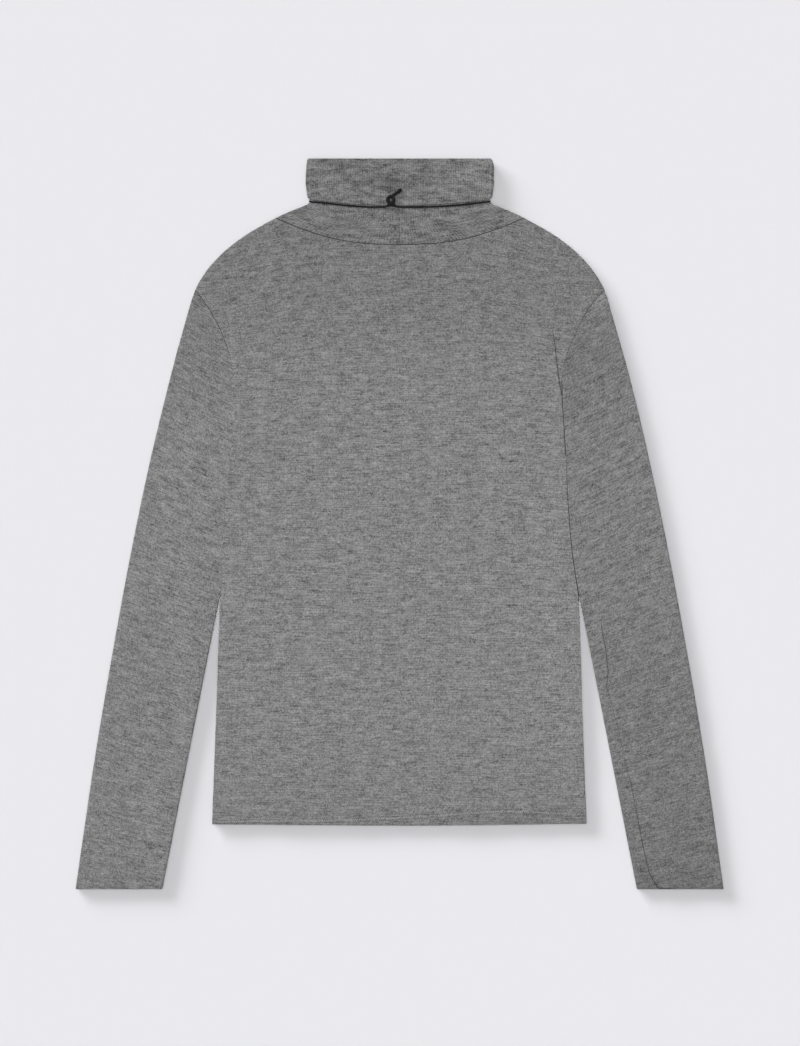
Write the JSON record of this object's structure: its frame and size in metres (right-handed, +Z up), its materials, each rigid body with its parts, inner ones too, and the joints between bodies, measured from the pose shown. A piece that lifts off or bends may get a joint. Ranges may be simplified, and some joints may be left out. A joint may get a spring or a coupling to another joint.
{
  "type": "turtleneck sweater",
  "caption": "Long-sleeved turtleneck sweater of fine grey jersey, laid flat with its back up, collar turned down once and a thin cord tied round it.",
  "frame": {"origin": "on the surface it lies on, under the middle of the garment's overall box", "axes": "+X across the garment towards the wearer's right sleeve as it lies, +Y from the hem to the collar, +Z up out of the back"},
  "size_m": [0.6486, 0.7308, 0.01],
  "materials": {
    "jersey": "fine heather grey jersey knit, matt with a soft nap",
    "collar_jersey": "the same heather jersey, doubled, a little darker",
    "cord": "thin black waxed cotton cord"
  },
  "bodies": {
    "root": {"front_panel": "jersey", "back_panel": "jersey", "sleeve_left": "jersey", "sleeve_right": "jersey", "collar": "collar_jersey", "neck_cord": "cord", "cord_knot": "cord"}
  },
  "joints": []
}
